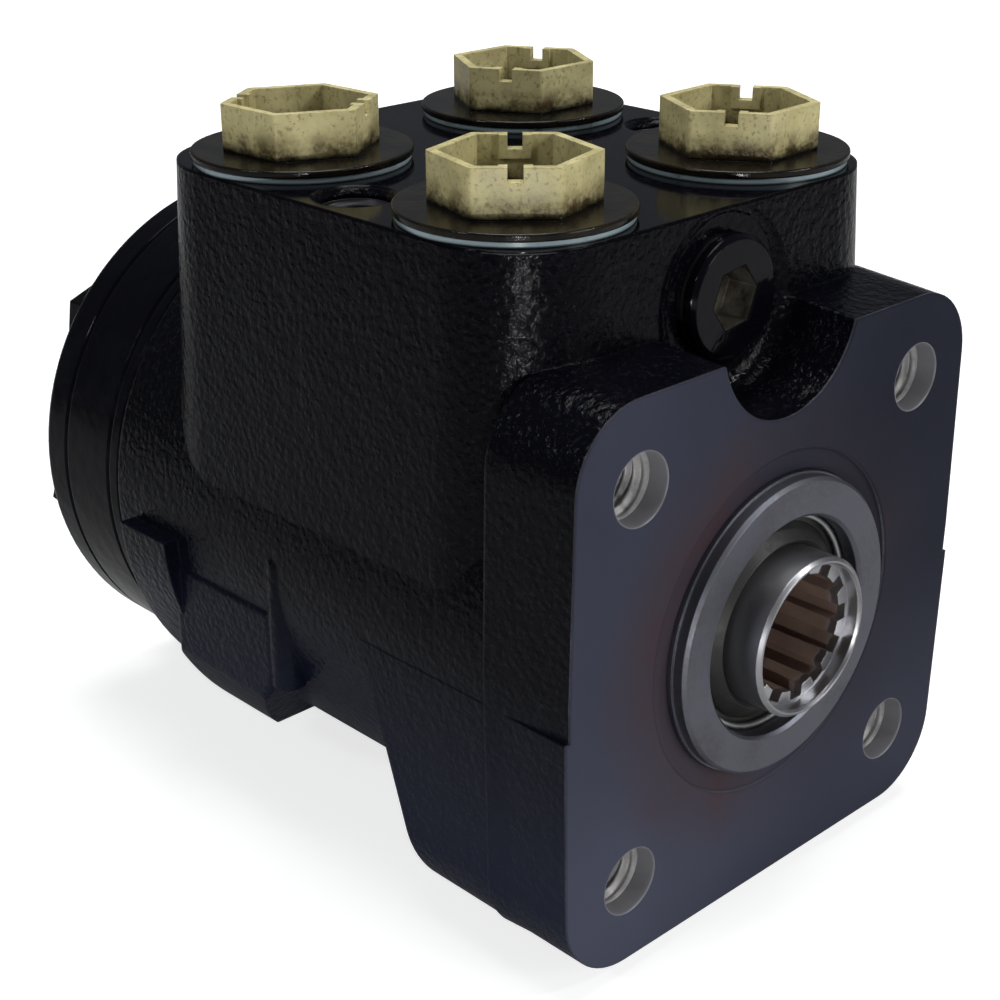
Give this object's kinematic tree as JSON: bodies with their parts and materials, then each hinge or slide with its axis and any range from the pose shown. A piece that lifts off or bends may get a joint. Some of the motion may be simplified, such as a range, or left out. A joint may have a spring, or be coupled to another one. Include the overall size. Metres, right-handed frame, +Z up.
{
  "type": "hydraulic steering unit",
  "caption": "Orbital steering unit: a cast housing with a splined rotary valve in front, plugged ports on top and an orbiting gear set behind.",
  "frame": {"origin": "centre of the column flange face, on the shaft axis", "axes": "+Y along the shaft to the end cover, +Z up through the port face, X across"},
  "size_m": [0.0892, 0.1356, 0.1102],
  "materials": {
    "housing": "gloss black paint over cast iron, machined faces bare",
    "plated_steel": "plated steel",
    "bright_steel": "ground steel",
    "dark_steel": "phosphated steel",
    "rubber": "matte black rubber",
    "cap_plastic": "pale yellow plastic",
    "washer_plastic": "pale plastic washer",
    "black_paint": "gloss black paint over steel"
  },
  "bodies": {
    "housing_body": {"housing": "housing", "relief_plug": "plated_steel", "relief_ring": "dark_steel", "check_bush": "dark_steel", "gland_ring": "plated_steel", "gland_cord": "rubber", "dust_seal": "rubber", "retaining_ring": "bright_steel", "shaft_seal": "rubber", "glide_ring": "dark_steel", "front_race": "bright_steel", "bearing_cage": "dark_steel", "bearing_needles": "bright_steel", "rear_race": "bright_steel", "spacer_plate": "black_paint", "gerotor_ring": "black_paint", "end_cover": "black_paint", "housing_cord": "rubber", "plate_cord": "rubber", "ring_cord": "rubber", "cover_screws": "black_paint", "pin_screw": "black_paint", "screw_washers": "black_paint", "port_cap_p": "cap_plastic", "cap_washer_p": "washer_plastic", "port_cap_t": "cap_plastic", "cap_washer_t": "washer_plastic", "port_cap_l": "cap_plastic", "cap_washer_l": "washer_plastic", "port_cap_r": "cap_plastic", "cap_washer_r": "washer_plastic"},
    "sleeve_body": {"sleeve": "bright_steel", "cross_pin": "bright_steel", "spring_ring": "bright_steel", "leaf_upper_flat": "bright_steel", "leaf_upper_bowed_1": "bright_steel", "leaf_upper_bowed_2": "bright_steel", "leaf_lower_flat": "bright_steel", "leaf_lower_bowed_1": "bright_steel", "leaf_lower_bowed_2": "bright_steel"},
    "spool_body": {"spool": "bright_steel"},
    "orbit_body": {"drive_spacer": "bright_steel"},
    "star_body": {"gerotor_star": "bright_steel"},
    "link_body": {"drive_link": "dark_steel"},
    "check_body": {"check_ball": "bright_steel"},
    "relief_body": {"relief_poppet": "bright_steel", "relief_spring": "dark_steel"}
  },
  "joints": [
    {"name": "sleeve_turn", "type": "hinge", "parent": "housing_body", "child": "sleeve_body", "pos_m": [0, 0.06, 0], "axis": [0, 1, 0], "continuous": true},
    {"name": "spool_lead", "type": "hinge", "parent": "sleeve_body", "child": "spool_body", "pos_m": [0, 0.05, 0], "axis": [0, 1, 0], "range_deg": [-10, 10], "stiffness_Nm_per_rad": 3},
    {"name": "star_orbit", "type": "hinge", "parent": "housing_body", "child": "orbit_body", "pos_m": [0, 0.11, 0], "axis": [0, 1, 0], "continuous": true},
    {"name": "star_spin", "type": "hinge", "parent": "orbit_body", "child": "star_body", "pos_m": [0.0027, 0.11025, 0], "axis": [0, 1, 0], "continuous": true},
    {"name": "link_spin", "type": "hinge", "parent": "orbit_body", "child": "link_body", "pos_m": [0, 0.044, 0], "axis": [0.0407, 0.9992, 0], "continuous": true},
    {"name": "check_lift", "type": "slide", "parent": "housing_body", "child": "check_body", "axis": [0, 0, 1], "range_m": [0, 0.001]},
    {"name": "relief_lift", "type": "slide", "parent": "housing_body", "child": "relief_body", "axis": [0, -1, 0], "range_m": [0, 0.0015], "stiffness_N_per_m": 20000}
  ],
  "couplings": [
    {"joint": "star_orbit", "follows": "sleeve_turn", "ratio": -6},
    {"joint": "star_spin", "follows": "sleeve_turn", "ratio": 7},
    {"joint": "link_spin", "follows": "sleeve_turn", "ratio": 7}
  ]
}
